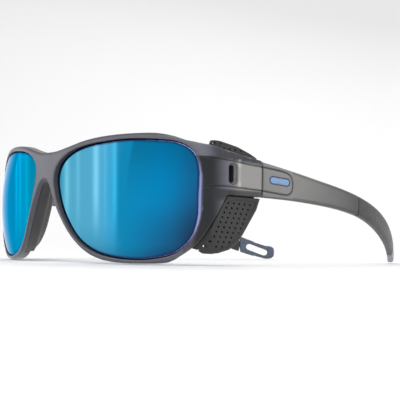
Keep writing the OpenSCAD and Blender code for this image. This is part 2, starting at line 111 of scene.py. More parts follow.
TEMPLE_POINTS = [
    (END_Y + SEAM, 21.8, 11.5), (53, 21.1, 9.7), (66, 19.9, 8.1), (78, 18.4, 7.3),
    (90, 16.2, 7), (102, 12.8, 7.4), (114, 8.6, 7.7), (124, 4.9, 7.3), (131, 2.1, 6.7),
    (137, 0.09, 6), (139, 0.25, 4.6), (140, 1.2, 2.6),
]


# ---- Curves and distance fields ----
def catmull(points, steps, closed):
    """Smooth curve through the points, as an array."""
    p = np.array(points, float)
    n = len(p)
    out = []
    for i in range(n if closed else n - 1):
        if closed:
            a, b, c, d = p[i - 1], p[i], p[(i + 1) % n], p[(i + 2) % n]
        else:
            a, b, c, d = p[max(i - 1, 0)], p[i], p[i + 1], p[min(i + 2, n - 1)]
        for k in range(steps):
            t = k / steps
            out.append(0.5 * (2 * b + (c - a) * t + (2 * a - 5 * b + 4 * c - d) * t * t
                              + (3 * b - a - 3 * c + d) * t ** 3))
    if not closed:
        out.append(p[-1])
    return np.array(out)


def to_segment(a, b, u, v, low=0.0, high=1.0):
    """Squared distance to a segment, how far along it that is, and if it is left of the segment."""
    ex, ey = b[0] - a[0], b[1] - a[1]
    wx, wy = u - a[0], v - a[1]
    t = np.clip((wx * ex + wy * ey) / max(ex * ex + ey * ey, 1e-12), low, high)
    return (wx - ex * t) ** 2 + (wy - ey * t) ** 2, t, ex * wy - ey * wx > 0


def polygon_field(curve, u, v):
    """Signed distance to a closed polygon, negative inside. u and v broadcast."""
    best, inside = np.inf, False
    for a, b in zip(curve, np.roll(curve, -1, 0)):
        best = np.minimum(best, to_segment(a, b, u, v)[0])
        if b[1] != a[1]:
            across = u < a[0] + (v - a[1]) * (b[0] - a[0]) / (b[1] - a[1])
            inside = inside ^ (((a[1] > v) != (b[1] > v)) & across)
    best = np.sqrt(best)
    return np.where(inside, -best, best)


def line_field(curve, u, v):
    """Signed distance to an open curve, negative to the left of its direction."""
    best, sign = np.inf, 1.0
    last = len(curve) - 2
    for i in range(last + 1):
        low = -9.0 if i == 0 else 0.0
        high = 9.0 if i == last else 1.0
        d, _, left = to_segment(curve[i], curve[i + 1], u, v, low, high)
        sign = np.where(d < best, np.where(left, -1.0, 1.0), sign)
        best = np.minimum(best, d)
    return np.sqrt(best) * sign


def line_distance(curve, u, v):
    """Distance to an open curve."""
    return np.sqrt(np.minimum.reduce([to_segment(a, b, u, v)[0] for a, b in zip(curve, curve[1:])]))


def smax(a, b, k):
    h = np.maximum(k - np.abs(a - b), 0.0) / k
    return np.maximum(a, b) + h * h * k * 0.25


def smin(a, b, k):
    return -smax(-a, -b, k)


def smooth_step(a, b, x):
    t = np.clip((x - a) / (b - a), 0, 1)
    return t * t * (3 - 2 * t)


def slot_field(u, v, length, width):
    """Signed distance to a slot with round ends that is long along u."""
    half = (length - width) / 2
    du = np.maximum(np.abs(u) - half, 0)
    return np.sqrt(du * du + v * v) - width / 2


def round_box(u, v, hu, hv, r):
    """Signed distance to a rectangle with rounded corners."""
    qu = np.abs(u) - (hu - r)
    qv = np.abs(v) - (hv - r)
    out = np.sqrt(np.maximum(qu, 0) ** 2 + np.maximum(qv, 0) ** 2)
    return out + np.minimum(np.maximum(qu, qv), 0) - r


# ---- Surface of a field as a mesh ----
SNAP_ROUNDS = 3              # times the vertices are moved onto the surface


def surface_net(field, low, high, step, half=False, relax=2):
    """Quad mesh of field = 0 in a box. With half, the box starts at X = 0, where the mesh is open."""
    axes = []
    for k in range(3):
        start = low[k] - (step / 2 if half and k == 0 else 0)
        count = int(math.ceil((high[k] - start) / step)) + 1
        axes.append(start + step * np.arange(count))
    gx, gy, gz = axes
    f = field(gx[:, None, None], gy[None, :, None], gz[None, None, :])
    f = np.broadcast_to(f, (len(gx), len(gy), len(gz)))
    inside = f < 0
    corners = [inside[i:len(gx) - 1 + i, j:len(gy) - 1 + j, k:len(gz) - 1 + k]
               for i in (0, 1) for j in (0, 1) for k in (0, 1)]
    total = sum(c.astype(np.int8) for c in corners)
    cells = np.argwhere((total > 0) & (total < 8))
    index = np.full(total.shape, -1, np.int64)
    index[tuple(cells.T)] = np.arange(len(cells))
    sums = np.zeros((len(cells), 3))
    counts = np.zeros(len(cells))
    values = {(i, j, k): f[cells[:, 0] + i, cells[:, 1] + j, cells[:, 2] + k]
              for i in (0, 1) for j in (0, 1) for k in (0, 1)}
    for a in range(3):
        for p in (0, 1):
            for q in (0, 1):
                c0 = [p, q]
                c0.insert(a, 0)
                c1 = [p, q]
                c1.insert(a, 1)
                va, vb = values[tuple(c0)], values[tuple(c1)]
                cross = (va < 0) != (vb < 0)
                t = np.where(cross, va / np.where(cross, va - vb, 1), 0)
                point = np.tile(np.array(c0, float), (len(cells), 1))
                point[:, a] += t
                sums += point * cross[:, None]
                counts += cross
    origin = np.array([a[0] for a in axes])
    verts = origin + step * (cells + sums / counts[:, None])
    quads = []
    shape = f.shape
    for a in range(3):
        b, c = (a + 1) % 3, (a + 2) % 3
        first = [slice(None)] * 3
        second = [slice(None)] * 3
        first[a] = slice(0, shape[a] - 1)
        second[a] = slice(1, shape[a])
        fa, fb = inside[tuple(first)], inside[tuple(second)]
        edges = np.argwhere(fa != fb)
        ok = (edges[:, b] > 0) & (edges[:, c] > 0)
        ok &= (edges[:, b] < shape[b] - 1) & (edges[:, c] < shape[c] - 1)
        edges = edges[ok]
        flip = fb[tuple(edges.T)]
        ring = []
        for db, dc in ((-1, -1), (0, -1), (0, 0), (-1, 0)):
            e = edges.copy()
            e[:, b] += db
            e[:, c] += dc
            ring.append(index[tuple(e.T)])
        ring = np.stack(ring, 1)
        ring[flip] = ring[flip][:, ::-1]
        quads.append(ring)
    quads = np.concatenate(quads)
    seam = cells[:, 0] == 0 if half else np.zeros(len(cells), bool)

    def gradient(v):
        e = step * 0.2
        g = np.empty_like(v)
        for k in range(3):
            d = np.zeros(3)
            d[k] = e
            up, down = v + d, v - d
            g[:, k] = (field(up[:, 0], up[:, 1], up[:, 2])
                       - field(down[:, 0], down[:, 1], down[:, 2])) / (2 * e)
        return g

    tied = np.concatenate([quads[:, [0, 1]], quads[:, [1, 2]], quads[:, [2, 3]], quads[:, [3, 0]]])
    tied = np.concatenate([tied, tied[:, ::-1]])
    degree = np.bincount(tied[:, 0], minlength=len(verts)).astype(float)
    for turn in range(SNAP_ROUNDS):
        if turn < relax:
            mean = np.stack([np.bincount(tied[:, 0], verts[tied[:, 1], k], len(verts))
                             for k in range(3)], 1) / degree[:, None]
            verts = verts + 0.5 * (mean - verts)
        g = gradient(verts)
        size = np.maximum((g * g).sum(1), 0.05)
        move = -field(verts[:, 0], verts[:, 1], verts[:, 2])[:, None] * g / size[:, None]
        move = np.clip(move, -step, step)
        verts = verts + move
        if half:
            verts[seam, 0] = 0
    g = gradient(verts)
    if half:
        g[seam, 0] = 0
    normals = g / np.maximum(np.linalg.norm(g, axis=1), 1e-9)[:, None]
    return verts, quads, normals, seam


def mirrored(verts, quads, normals, seam):
    """Half mesh joined to its mirror image across X = 0."""
    other = np.full(len(verts), -1)
    free = ~seam
    other[seam] = np.flatnonzero(seam)
    other[free] = len(verts) + np.arange(free.sum())
    flip = np.array([-1.0, 1, 1])
    return (np.concatenate([verts, verts[free] * flip]),
            np.concatenate([quads, other[quads][:, ::-1]]),
            np.concatenate([normals, normals[free] * flip]))


def place(verts):
    v = np.array(verts, float)
    v[:, 1] += Y_SHIFT
    return v * MM


def sheet_faces(rows, cols):
    """Quads of a grid of points, given row by row."""
    return [(i * cols + k, i * cols + k + 1, (i + 1) * cols + k + 1, (i + 1) * cols + k)
            for i in range(rows - 1) for k in range(cols - 1)]


def new_mesh(name, verts, faces, normals=None, side=1.0, material=None, body=None):
    """Object from millimetre coordinates; side -1 mirrors it to the wearer's right."""
    v = np.array(verts, float)
    faces = [tuple(int(i) for i in f) for f in faces]
    if side < 0:
        v = v * np.array([-1.0, 1, 1])
        faces = [f[::-1] for f in faces]
    mesh = bpy.data.meshes.new(name)
    mesh.from_pydata(place(v).tolist(), [], faces)
    mesh.update()
    mesh.polygons.foreach_set("use_smooth", [True] * len(mesh.polygons))
    if normals is not None:
        n = np.array(normals, float) * np.array([side, 1, 1])
        mesh.normals_split_custom_set_from_vertices(n.tolist())
    mesh.update()
    obj = bpy.data.objects.new(name, mesh)
    bpy.context.scene.collection.objects.link(obj)
    if material is not None:
        mesh.materials.append(material)
    if body:
        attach(obj, body)
    return obj


# ---- Camera, lights and floor ----
SENSOR, FOCAL = 36.0, 98.24
KEY_WATTS, SIDE_WATTS, BACK_WATTS = 4.6, 1.3, 2.4
FLOOR_TURN = 52              # degrees that the floor sheet is turned, to face the camera
FLOOR_DROP = 0.0002          # metres that it lies below the glasses
SHEET_ROWS, SHEET_COLS = 25, 12


def make_camera():
    cam = bpy.data.cameras.new("camera")
    cam.sensor_width = SENSOR
    cam.lens = FOCAL
    cam.clip_start = 0.01
    cam.clip_end = 20
    obj = bpy.data.objects.new("camera", cam)
    right = Vector((0.61978, 0.78469, 0.01174))
    up = Vector((0.02314, -0.03323, 0.99918))
    back = Vector((0.78444, -0.61900, -0.03875))
    m = Matrix((right, up, back)).transposed().to_4x4()
    m.translation = Vector((0.3294, -0.26078, 0.00724))
    obj.matrix_world = m
    bpy.context.scene.collection.objects.link(obj)
    bpy.context.scene.camera = obj
    return obj


def area_light(name, at, look, size, size_y, power):
    lamp = bpy.data.lights.new(name, "AREA")
    lamp.shape = "RECTANGLE"
    lamp.size = size
    lamp.size_y = size_y
    lamp.energy = power
    obj = bpy.data.objects.new(name, lamp)
    obj.location = at
    obj.visible_camera = False
    obj.rotation_euler = (Vector(look) - Vector(at)).to_track_quat("-Z", "Y").to_euler()
    bpy.context.scene.collection.objects.link(obj)
    return obj


def nodes_of(material):
    material.use_nodes = True
    tree = material.node_tree
    tree.nodes.clear()
    return tree


def make_stage():
    world = bpy.data.worlds.new("world")
    bpy.context.scene.world = world
    world.use_nodes = True
    tree = world.node_tree
    bg = tree.nodes["Background"]
    # Bright at the horizon, where it meets the floor, and darker overhead
    coords = tree.nodes.new("ShaderNodeTexCoord")
    split = tree.nodes.new("ShaderNodeSeparateXYZ")
    sky = tree.nodes.new("ShaderNodeValToRGB")
    stops = [(0.0, 1.0), (0.25, 0.86), (0.55, 0.55), (1.0, 0.36)]
    while len(sky.color_ramp.elements) < len(stops):
        sky.color_ramp.elements.new(0.5)
    for e, (at, level) in zip(sky.color_ramp.elements, stops):
        e.position = at
        e.color = (level, level, level * 1.01, 1)
    tree.links.new(coords.outputs["Generated"], split.inputs[0])
    tree.links.new(split.outputs["Z"], sky.inputs["Fac"])
    tree.links.new(sky.outputs["Color"], bg.inputs[0])
    bg.inputs[1].default_value = SKY
    floor_mat = bpy.data.materials.new("floor_paper")
    tree = nodes_of(floor_mat)
    out = tree.nodes.new("ShaderNodeOutputMaterial")
    bsdf = tree.nodes.new("ShaderNodeBsdfPrincipled")
    bsdf.inputs["Roughness"].default_value = 0.7
    noise = tree.nodes.new("ShaderNodeTexNoise")
    noise.inputs["Scale"].default_value = 14
    ramp = tree.nodes.new("ShaderNodeValToRGB")
    ramp.color_ramp.elements[0].color = (0.945, 0.945, 0.95, 1)
    ramp.color_ramp.elements[1].color = (0.97, 0.97, 0.97, 1)
    tree.links.new(noise.outputs["Fac"], ramp.inputs["Fac"])
    tree.links.new(ramp.outputs["Color"], bsdf.inputs["Base Color"])
    tree.links.new(bsdf.outputs[0], out.inputs[0])
    # A sheet that lies flat and curves up far behind the object
    rows = []
    for k in range(SHEET_ROWS):
        t = k / (SHEET_ROWS - 1)
        if t < 0.5:
            rows.append((-2.5 + 4.0 * t, 0.0))
        else:
            a = (t - 0.5) * math.pi
            rows.append((-0.5 + 1.2 * math.sin(a) + 0.9, 1.2 - 1.2 * math.cos(a)))
    verts = []
    turn = Matrix.Rotation(math.radians(FLOOR_TURN), 3, "Z")
    for y, z in rows:
        for k in range(SHEET_COLS + 1):
            p = turn @ Vector((-2.4 + 4.8 * k / SHEET_COLS, y, z))
            verts.append((p.x, p.y, p.z - FLOOR_DROP))
    mesh = bpy.data.meshes.new("floor")
    mesh.from_pydata(verts, [], sheet_faces(SHEET_ROWS, SHEET_COLS + 1))
    mesh.polygons.foreach_set("use_smooth", [True] * len(mesh.polygons))
    mesh.materials.append(floor_mat)
    floor = bpy.data.objects.new("floor", mesh)
    bpy.context.scene.collection.objects.link(floor)
    floor.visible_glossy = False

    scene = bpy.context.scene
    scene.view_settings.view_transform = "Standard"
    area_light("key", (0.1, -0.5, 0.9), (0.02, -0.02, 0.02), 0.9, 0.6, KEY_WATTS)
    area_light("side", (0.95, 0.35, 0.5), (0.05, 0, 0.02), 0.5, 0.8, SIDE_WATTS)
    area_light("back", (-0.5, 0.7, 0.8), (0, 0, 0.02), 0.9, 0.5, BACK_WATTS)


# ---- Materials ----
class Shade:
    """Small builder of node materials in object coordinates."""

    def __init__(self, name):
        self.material = bpy.data.materials.new(name)
        self.tree = nodes_of(self.material)
        self.out = self.node("ShaderNodeOutputMaterial")
        self.bsdf = self.node("ShaderNodeBsdfPrincipled")
        self.link(self.bsdf.outputs[0], self.out.inputs[0])
        self.coords = self.node("ShaderNodeTexCoord").outputs["Object"]

    def node(self, kind, **values):
        n = self.tree.nodes.new(kind)
        for key, value in values.items():
            setattr(n, key, value)
        return n

    def link(self, a, b):
        self.tree.links.new(a, b)

    def set(self, **values):
        for key, value in values.items():
            self.bsdf.inputs[key.replace("_", " ")].default_value = value

    def noise(self, scale, detail, stretch=None):
        n = self.node("ShaderNodeTexNoise")
        n.inputs["Scale"].default_value = scale
        n.inputs["Detail"].default_value = detail
        n.inputs["Roughness"].default_value = 0.55
        if stretch:
            m = self.node("ShaderNodeMapping")
            m.inputs["Scale"].default_value = stretch
            self.link(self.coords, m.inputs["Vector"])
            self.link(m.outputs[0], n.inputs["Vector"])
        else:
            self.link(self.coords, n.inputs["Vector"])
        return n.outputs["Fac"]

    def ramp(self, source, stops):
        n = self.node("ShaderNodeValToRGB")
        elements = n.color_ramp.elements
        while len(elements) < len(stops):
            elements.new(0.5)
        for e, (at, colour) in zip(elements, stops):
            e.position = at
            e.color = (*colour, 1)
        self.link(source, n.inputs["Fac"])
        return n.outputs["Color"]

    def math(self, operation, a, b=None):
        n = self.node("ShaderNodeMath", operation=operation)
        for socket, value in zip(n.inputs, (a, b)):
            if value is None:
                continue
            if isinstance(value, (int, float)):
                socket.default_value = value
            else:
                self.link(value, socket)
        return n.outputs[0]

    def mix(self, fac, a, b):
        n = self.node("ShaderNodeMix", data_type="RGBA")
        for socket, value in ((n.inputs[0], fac), (n.inputs[6], a), (n.inputs[7], b)):
            if isinstance(value, tuple):
                socket.default_value = (*value, 1)
            else:
                self.link(value, socket)
        return n.outputs[2]

    def to_range(self, source, a, b, c, d):
        n = self.node("ShaderNodeMapRange")
        for k, value in enumerate((a, b, c, d)):
            n.inputs[k + 1].default_value = value
        self.link(source, n.inputs[0])
        return n.outputs[0]

    def bump(self, height, strength, distance):
        n = self.node("ShaderNodeBump")
        n.inputs["Strength"].default_value = strength
        n.inputs["Distance"].default_value = distance
        self.link(height, n.inputs["Height"])
        self.link(n.outputs[0], self.bsdf.inputs["Normal"])

    def place(self):
        """X, Y and Z of the shaded point, in metres."""
        n = self.node("ShaderNodeSeparateXYZ")
        self.link(self.coords, n.inputs[0])
        return n.outputs

    def attribute(self, name):
        n = self.node("ShaderNodeAttribute", attribute_name=name)
        return n.outputs["Fac"]

    def to(self, source, socket):
        self.link(source, self.bsdf.inputs[socket])


def frame_plastic():
    """Matte see-through mauve grey moulding, lighter along its sharpest edges, with painted light and
    painted shade from the mesh's attributes.
    """
    s = Shade("frame_matte_plastic")
    cloud = s.noise(55, 3)
    base = s.ramp(cloud, [(0.35, (0.118, 0.121, 0.148)), (0.65, (0.144, 0.147, 0.174))])
    # Painted shade: darker where the shield lies behind the wall, and along the wing's edges
    base = s.mix(s.attribute("painted_dark"), base, (0.010, 0.012, 0.015))
    # Painted light: the see-through wall paler towards the joint, and a painted glint behind the vent
    base = s.mix(s.attribute("wall"), base, (0.46, 0.45, 0.41))
    # Painted shade in the creases, the vent, under the rib, on the inner faces and along the front's
    # edges
    base = s.mix(s.attribute("shade"), base, (0.018, 0.018, 0.022))
    geo = s.node("ShaderNodeNewGeometry")
    # Lighter along the sharpest outward edges
    sharp_edges = s.to_range(geo.outputs["Pointiness"], 0.52, 0.60, 0.0, 0.35)
    base = s.mix(sharp_edges, base, (0.52, 0.50, 0.56))
    s.to(base, "Base Color")
    s.set(Subsurface_Weight=0.12, Subsurface_Scale=0.004, IOR=1.5, Specular_IOR_Level=0.3)
    s.bsdf.inputs["Subsurface Radius"].default_value = (1.0, 0.8, 0.9)
    s.to(s.to_range(s.noise(900, 2), 0.3, 0.7, 0.36, 0.46), "Roughness")
    s.bump(s.noise(5200, 3), 0.12, 0.00004)
    return s.material


def rubber(name, low, high, rough, grain=4200):
    s = Shade(name)
    cloud = s.ramp(s.noise(70, 5), [(0.3, low), (0.7, high)])
    geo = s.node("ShaderNodeNewGeometry")
    # Lighter along the sharpest outward edges
    sharp_edges = s.to_range(geo.outputs["Pointiness"], 0.51, 0.60, 0.0, 0.3)
    s.to(s.mix(sharp_edges, cloud, tuple(min(1, c * 2.2 + 0.02) for c in high)), "Base Color")
    s.set(IOR=1.5, Specular_IOR_Level=0.4, Sheen_Weight=0.08, Sheen_Roughness=0.5)
    s.to(s.to_range(s.noise(600, 3), 0.3, 0.7, rough - 0.07, rough + 0.07), "Roughness")
    s.bump(s.noise(grain, 4), 0.3, 0.00006)
    return s.material


def steel(name, tint):
    s = Shade(name)
    lines = s.noise(900, 4, stretch=(1, 1, 0.06))
    dark = tuple(c * 0.72 for c in tint)
    s.to(s.ramp(lines, [(0.3, dark), (0.7, tint)]), "Base Color")
    s.set(Metallic=1.0)
    s.to(s.to_range(lines, 0.3, 0.7, 0.22, 0.4), "Roughness")
    s.bump(lines, 0.15, 0.00003)
    return s.material


def mirror_lens():
    """Blue mirror coating whose colour runs across the lens, partly its own colour and partly painted
    reflection, with a painted dark reflection in its lower outer corner, painted shade beside the
    frame and a painted highlight on the bevel.
    """
    s = Shade("lens_blue_mirror")
    x = s.place()[0]
    # The colour's run across the lens is partly the coating's own colour and partly painted reflection
    across = s.to_range(s.math("ABSOLUTE", x), 0.008, 0.066, 0.0, 1.0)
    wobble = s.noise(26, 2, stretch=(1, 1, 0.35))
    across = s.math("ADD", across, s.math("MULTIPLY", s.math("SUBTRACT", wobble, 0.5), 0.08))
    colour = s.ramp(across, [
        (0.0, (0.050, 0.215, 0.31)), (0.33, (0.040, 0.215, 0.345)), (0.5, (0.005, 0.205, 0.39)),
        (0.75, (0.002, 0.205, 0.44)), (1.0, (0.004, 0.15, 0.35))])
    # Painted dark reflection in the lower outer corner
    colour = s.mix(s.attribute("dusk_reflection"), colour, (0.012, 0.040, 0.095))
    # Painted shade where the lens runs into the frame
    colour = s.mix(s.attribute("groove"), colour, (0.012, 0.020, 0.085))
    # Painted highlight along the bevel's front
    colour = s.mix(s.attribute("rim"), colour, (0.27, 0.29, 0.52))
    s.to(colour, "Base Color")
    s.set(Metallic=1.0, Specular_Tint=(0.22, 0.6, 0.85, 1))
    s.to(s.to_range(s.noise(180, 2), 0.3, 0.7, 0.035, 0.06), "Roughness")
    s.bump(s.noise(60, 2), 0.008, 0.0002)
    return s.material


def temple_plastic():
    """Pale grey-beige translucent moulding, greyer towards the grip, with painted shade along its
    creases, its edges and its underside.
    """
    s = Shade("temple_plastic")
    cloud = s.noise(60, 3)
    pale = s.ramp(cloud, [(0.3, (0.20, 0.20, 0.193)), (0.7, (0.245, 0.243, 0.235))])
    grey = s.ramp(cloud, [(0.3, (0.040, 0.041, 0.044)), (0.7, (0.055, 0.056, 0.060))])
    along = s.attribute("along")
    colour = s.mix(s.to_range(along, 0.16, 0.44, 0.0, 1.0), pale, grey)
    # Painted shade on the creases, the top and bottom edges and the underside
    colour = s.mix(s.attribute("shade"), colour, (0.014, 0.014, 0.017))
    s.to(colour, "Base Color")
    s.set(Subsurface_Weight=0.12, Subsurface_Scale=0.003, IOR=1.5, Specular_IOR_Level=0.45)
    s.to(s.to_range(s.noise(900, 2), 0.3, 0.7, 0.34, 0.44), "Roughness")
    s.bump(s.noise(5200, 3), 0.12, 0.00004)
    return s.material


def tip_plastic():
    s = Shade("tip_plastic")
    s.to(s.ramp(s.noise(80, 3), [(0.3, (0.055, 0.07, 0.11)), (0.7, (0.10, 0.12, 0.17))]), "Base Color")
    s.set(IOR=1.5, Specular_IOR_Level=0.5, Subsurface_Weight=0.1, Subsurface_Scale=0.002)
    s.to(s.to_range(s.noise(700, 2), 0.3, 0.7, 0.24, 0.34), "Roughness")
    s.bump(s.noise(4200, 3), 0.1, 0.00003)
    return s.material


def badge_paint(name, low, high):
    s = Shade(name)
    s.to(s.ramp(s.noise(500, 3), [(0.3, low), (0.7, high)]), "Base Color")
    s.set(Metallic=0.25, Coat_Weight=0.6, Coat_Roughness=0.1)
    s.to(s.to_range(s.noise(1500, 2), 0.3, 0.7, 0.25, 0.35), "Roughness")
    s.bump(s.noise(3000, 2), 0.05, 0.00002)
    return s.material


# ---- Fields of the mouldings, in millimetres, for the wearer's left half ----
LENS_OPEN = catmull(LENS_POINTS, 6, True)
SIDE_CURVE = catmull(SIDE_POINTS, 4, False)
SIDE_OUTLINE = np.array(FRAME_SIDE, float)


def curve_radius(z, offset):
    """Radius of the wrap round the head at a height, for a surface that far inside the curve."""
    flat = np.sqrt(np.maximum((BROW_R - offset) ** 2 - (z - BULGE_Z) ** 2, 1.0))
    return WRAP_R - BROW_R + flat


def barrel(x, z, offset=0.0, shift=(0.0, 0.0)):
    """Distance back of the curved front, or of the lens's curve, at x and z."""
    r = curve_radius(z, offset)
    return WRAP_R + shift[1] - np.sqrt(np.maximum(r * r - (x - shift[0]) ** 2, 1.0))


def behind(x, y, z, offset=0.0, shift=(0.0, 0.0)):
    """About the signed distance behind that surface, negative behind it."""
    away = np.sqrt((x - shift[0]) ** 2 + (y - WRAP_R - shift[1]) ** 2)
    return (away - curve_radius(z, offset)) * 0.97


class Sheet:
    """A 2-D field kept on a fine grid, read back with bilinear interpolation."""

    def __init__(self, make, u0, u1, v0, v1, step=0.2, blur=0):
        self.u0, self.v0, self.step = u0, v0, step
        u = np.arange(u0, u1 + step, step)
        v = np.arange(v0, v1 + step, step)
        f = np.array(np.broadcast_to(make(u[:, None], v[None, :]), (len(u), len(v))))
        for _ in range(blur):
            p = np.pad(f, 1, mode="edge")
            f = (p[:-2, 1:-1] + p[2:, 1:-1] + p[1:-1, :-2] + p[1:-1, 2:] + 4 * f) / 8
        self.f = f

    def __call__(self, u, v):
        a = (u - self.u0) / self.step
        b = (v - self.v0) / self.step
        n, m = self.f.shape
        a = np.clip(a, 0, n - 1.001)
        b = np.clip(b, 0, m - 1.001)
        i, j = a.astype(int), b.astype(int)
        s, t = a - i, b - j
        f = self.f
        return ((1 - s) * ((1 - t) * f[i, j] + t * f[i, j + 1])
                + s * ((1 - t) * f[i + 1, j] + t * f[i + 1, j + 1]))


def mirror_ends(points, count, at_start):
    """Points continued by their mirror image across X = 0, so that a curve is smooth there."""
    if at_start:
        return [(-x, z) for x, z in points[count:0:-1]] + list(points)
    return list(points) + [(-x, z) for x, z in points[-2:-2 - count:-1]]


FRONT_HALF = np.concatenate([
    catmull(mirror_ends(BROW_POINTS, 2, True), 3, False),
    catmull(RIM_POINTS, 3, False)[:-1],
    catmull(mirror_ends(ARCH_POINTS, 3, False), 4, False)])
CREASE = catmull([
    (17.2, 34.4), (20.6, 33.8), (27.8, 33.1), (35.7, 32.1), (40.9, 31.6), (46, 30.9),
    (49.8, 30.2), (51.8, 29.2), (52.6, 27.4), (52.7, 25.4), (52.1, 23.7), (50.4, 22.9),
    (45.5, 23.4), (40.6, 24), (36, 24.3), (31.9, 24.6), (26, 24.95), (22.4, 24.85),
    (19.2, 24.5)], 4, False)


front_sheet = Sheet(lambda u, v: polygon_field(FRONT_HALF, u, v), -2, 72, -2, 45, 0.2, 2)
lens_sheet = Sheet(lambda u, v: polygon_field(LENS_OPEN, u, v), -2, 72, -3, 45, 0.2, 1)
plan_sheet = Sheet(lambda u, v: line_field(SIDE_CURVE, u, v), -2, 72, -2, 46, 0.2, 1)
profile_sheet = Sheet(lambda u, v: polygon_field(SIDE_OUTLINE, u, v), -2, 46, -3, 45, 0.2, 3)
crease_sheet = Sheet(lambda u, v: line_distance(CREASE, u, v), 14, 56, 20, 38, 0.1, 0)


def groove(y, z, width, depth):
    """How far the surface is pressed in along the crease lines."""
    g = crease_sheet(y, z) / width
    return depth * np.exp(-g * g)


PAD_FIRST, PAD_LAST = 8, 48
PAD_GROW, PAD_TAPER = 28, 12
PAD_CURVE = catmull(ARCH_POINTS, 6, False)
LIP = 1.6                    # depth of the lip in front of the pads


def curve_normal(c, i):
    d = c[min(i + 1, len(c) - 1)] - c[max(i - 1, 0)]
    return np.array([-d[1], d[0]]) / np.linalg.norm(d)


def pad_thick(i):
    return 0.35 + 0.65 * min(1.0, max(0.0, (i - PAD_GROW) / PAD_TAPER))


def pad_seat_outline():
    low = [PAD_CURVE[i] + 3 * curve_normal(PAD_CURVE, i) for i in range(PAD_FIRST, PAD_LAST + 1)]
    high = [PAD_CURVE[i] - (pad_thick(i) + 0.05) * curve_normal(PAD_CURVE, i)
            for i in range(PAD_LAST, PAD_FIRST - 1, -1)]
    return np.array(low + high)


SEAT = pad_seat_outline()
seat_sheet = Sheet(lambda u, v: polygon_field(SEAT, u, v), -2, 34, -3, 36, 0.2, 0)
vent_sheet = Sheet(lambda u, v: slot_field(v - VENT[1], u - VENT[0], VENT[3], VENT[2]),
                   20, 38, 18, 40, 0.1, 0)


def rib_top(y):
    """Height of the rib's upper edge on the end piece."""
    return 35.6 - 0.075 * y


def rib_low(y):
    return 25.0 - 0.02 * y


def frame_field(x, y, z):
    skin = behind(x, y, z)
    wrap = plan_sheet(x, y)
    far = smooth_step(16, 21, y)
    # The rib stands between the two creases; the surface falls away above and below it
    upper = smooth_step(0.5, 5.0, z - rib_top(y)) * far
    lower = smooth_step(0.0, 2.2, rib_low(y) - z) * far
    wrap = wrap + groove(y, z, 0.26, 0.30) * far + 0.30 * upper + 0.18 * lower
    body = smax(skin, wrap, 1.4)
    outline = smax(front_sheet(x, z) - 0.12, profile_sheet(y, z) - 0.1, 2.6)
    body = smax(body, outline, 0.9)
    space = smax(behind(x, y, z, LENS_T + BACK_WALL, LENS_SHIFT), plan_sheet(x, y) + SIDE_WALL, 1.2)
    body = smax(body, -space, 0.7)
    boss = np.maximum(np.maximum(np.abs(x - 65.3) - 1.0, 33.4 - y), y - END_Y)
    boss = smax(boss, np.abs(z - HINGE[2]) - 5.0, 0.6)
    body = smin(body, boss, 0.5)
    body = smax(body, -lens_sheet(x, z), 0.4)
    seat = np.maximum(seat_sheet(x, z), behind(x, y, z, LIP))
    body = smax(body, -seat, 0.3)
    # The vent is a dished recess with a narrower slot through its floor
    vent = vent_sheet(y, z)
    dish = smax(vent, -plan_sheet(x, y) - VENT_DISH, 0.5)
    body = smax(body, -np.maximum(dish, SIDE_X - x), 0.6)
    return smax(body, -np.maximum(vent + VENT_LIP, SIDE_X - x), 0.35)


def lens_field(x, y, z):
    front = behind(x, y, z, 0.0, LENS_SHIFT)
    edge = lens_sheet(x, z)
    body = smax(front, -behind(x, y, z, LENS_T, LENS_SHIFT), 0.3)
    body = smax(body, edge - 0.5, 0.2)
    return smax(body, (front + edge + 0.42) * 0.7071, 0.1)


HOLE_PITCH_Y, HOLE_PITCH_Z = 2.2, 1.55
HOLE_R = 0.34
HOLE_LEAN = 0.48             # how far the columns lean back for each millimetre up
HOLE_Y, HOLE_LOW_Z = 24.3, 4.1    # where a column crosses HOLE_CROSS_Z, and the lowest row
HOLE_CROSS_Z = 20.0
ROW_SINK = 0.05              # how far the rows sink for each millimetre back


def perforation(y, z):
    """Signed distance to the nearest of the shield's small holes, in its side view."""
    a = (y - HOLE_LEAN * (z - HOLE_CROSS_Z) - HOLE_Y) / HOLE_PITCH_Y
    row = (z + ROW_SINK * y - HOLE_LOW_Z) / HOLE_PITCH_Z
    dz = z - (np.round(row) * HOLE_PITCH_Z + HOLE_LOW_Z - ROW_SINK * y)
    dy = (a - np.round(a)) * HOLE_PITCH_Y + HOLE_LEAN * dz
    return np.sqrt(dy * dy + dz * dz) - HOLE_R


upper_sheet = Sheet(lambda u, v: polygon_field(np.array(SHIELD_UPPER, float), u, v),
                    10, 43, 1, 41, 0.15, 3)
lower_sheet = Sheet(lambda u, v: polygon_field(np.array(SHIELD_LOWER, float), u, v),
                    20, 43, 1, 24, 0.15, 3)
hole_sheet = Sheet(perforation, 10, 43, 1, 41, 0.05, 0)


